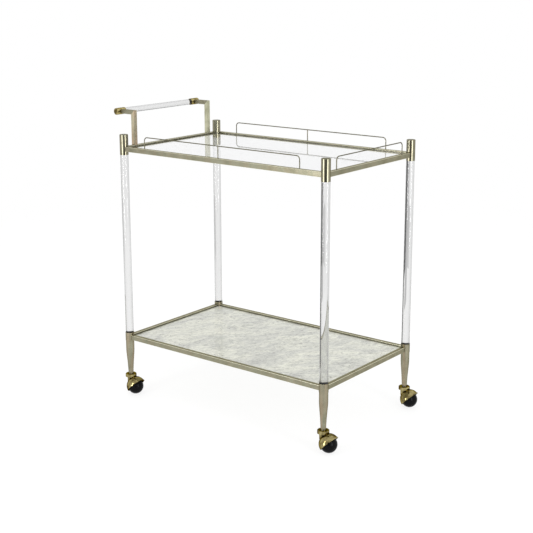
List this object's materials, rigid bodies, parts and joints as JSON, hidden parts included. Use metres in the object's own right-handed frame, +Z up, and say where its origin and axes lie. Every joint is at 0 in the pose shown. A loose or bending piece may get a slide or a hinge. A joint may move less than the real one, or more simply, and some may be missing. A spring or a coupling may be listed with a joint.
{
  "type": "rolling bar cart",
  "caption": "Rolling bar cart: glass top with wire gallery, marble lower shelf, clear round posts, antique brass frame, side push handle and hooded ball casters.",
  "frame": {"origin": "on the floor, under the middle of the cart's bounding box", "axes": "+X along the cart, away from the push handle; +Y across the cart, from front to back; +Z up"},
  "size_m": [0.877, 0.5018, 0.9165],
  "materials": {
    "antique_brass": "brushed antique brass plate, satin",
    "polished_brass": "polished brass plate",
    "steel": "zinc-plated steel",
    "clear_acrylic": "clear cast acrylic, polished",
    "clear_glass": "clear tempered glass, polished edge",
    "marble": "polished pale grey and cream marble",
    "black_plastic": "glossy black moulded",
    "clear_vinyl": "soft clear vinyl"
  },
  "bodies": {
    "cart_frame": {"front_left_post_sleeve": "antique_brass", "front_left_post_cap": "antique_brass", "front_left_acrylic_post": "clear_acrylic", "front_left_tapered_foot": "antique_brass", "front_left_caster_stem": "steel", "front_right_post_sleeve": "antique_brass", "front_right_post_cap": "antique_brass", "front_right_acrylic_post": "clear_acrylic", "front_right_tapered_foot": "antique_brass", "front_right_caster_stem": "steel", "back_left_post_sleeve": "antique_brass", "back_left_post_cap": "antique_brass", "back_left_acrylic_post": "clear_acrylic", "back_left_tapered_foot": "antique_brass", "back_left_caster_stem": "steel", "back_right_post_sleeve": "antique_brass", "back_right_post_cap": "antique_brass", "back_right_acrylic_post": "clear_acrylic", "back_right_tapered_foot": "antique_brass", "back_right_caster_stem": "steel", "top_bolts": "steel", "foot_studs": "steel", "caster_grip_sockets": "steel", "top_front_rail": "antique_brass", "top_back_rail": "antique_brass", "top_left_rail": "antique_brass", "top_right_rail": "antique_brass", "lower_front_rail": "antique_brass", "lower_back_rail": "antique_brass", "lower_left_rail": "antique_brass", "lower_right_rail": "antique_brass", "glass_top": "clear_glass", "marble_shelf": "marble", "glass_pads": "clear_vinyl", "marble_pads": "clear_vinyl", "front_gallery_wire": "antique_brass", "back_gallery_wire": "antique_brass", "end_gallery_wire": "antique_brass", "front_gallery_strut": "antique_brass", "back_gallery_strut": "antique_brass", "front_handle_post": "antique_brass", "front_handle_arm": "antique_brass", "front_handle_ferrule": "antique_brass", "back_handle_post": "antique_brass", "back_handle_arm": "antique_brass", "back_handle_ferrule": "antique_brass", "handle_grip": "clear_acrylic"},
    "front_left_caster": {"front_left_caster_hood": "polished_brass", "front_left_caster_axle": "steel"},
    "front_left_ball": {"front_left_caster_ball": "black_plastic"},
    "front_right_caster": {"front_right_caster_hood": "polished_brass", "front_right_caster_axle": "steel"},
    "front_right_ball": {"front_right_caster_ball": "black_plastic"},
    "back_left_caster": {"back_left_caster_hood": "polished_brass", "back_left_caster_axle": "steel"},
    "back_left_ball": {"back_left_caster_ball": "black_plastic"},
    "back_right_caster": {"back_right_caster_hood": "polished_brass", "back_right_caster_axle": "steel"},
    "back_right_ball": {"back_right_caster_ball": "black_plastic"}
  },
  "joints": [
    {"name": "front_left_caster_swivel", "type": "hinge", "parent": "cart_frame", "child": "front_left_caster", "pos_m": [-0.368, -0.22, 0.0585], "axis": [0, 0, 1], "continuous": true},
    {"name": "front_left_ball_spin", "type": "hinge", "parent": "front_left_caster", "child": "front_left_ball", "pos_m": [-0.3485, -0.22, 0.025], "axis": [-0.7071, 0, 0.7071], "continuous": true},
    {"name": "front_right_caster_swivel", "type": "hinge", "parent": "cart_frame", "child": "front_right_caster", "pos_m": [0.394, -0.22, 0.0585], "axis": [0, 0, 1], "continuous": true},
    {"name": "front_right_ball_spin", "type": "hinge", "parent": "front_right_caster", "child": "front_right_ball", "pos_m": [0.4135, -0.22, 0.025], "axis": [-0.7071, 0, 0.7071], "continuous": true},
    {"name": "back_left_caster_swivel", "type": "hinge", "parent": "cart_frame", "child": "back_left_caster", "pos_m": [-0.368, 0.22, 0.0585], "axis": [0, 0, 1], "continuous": true},
    {"name": "back_left_ball_spin", "type": "hinge", "parent": "back_left_caster", "child": "back_left_ball", "pos_m": [-0.3485, 0.22, 0.025], "axis": [-0.7071, 0, 0.7071], "continuous": true},
    {"name": "back_right_caster_swivel", "type": "hinge", "parent": "cart_frame", "child": "back_right_caster", "pos_m": [0.394, 0.22, 0.0585], "axis": [0, 0, 1], "continuous": true},
    {"name": "back_right_ball_spin", "type": "hinge", "parent": "back_right_caster", "child": "back_right_ball", "pos_m": [0.4135, 0.22, 0.025], "axis": [-0.7071, 0, 0.7071], "continuous": true}
  ]
}
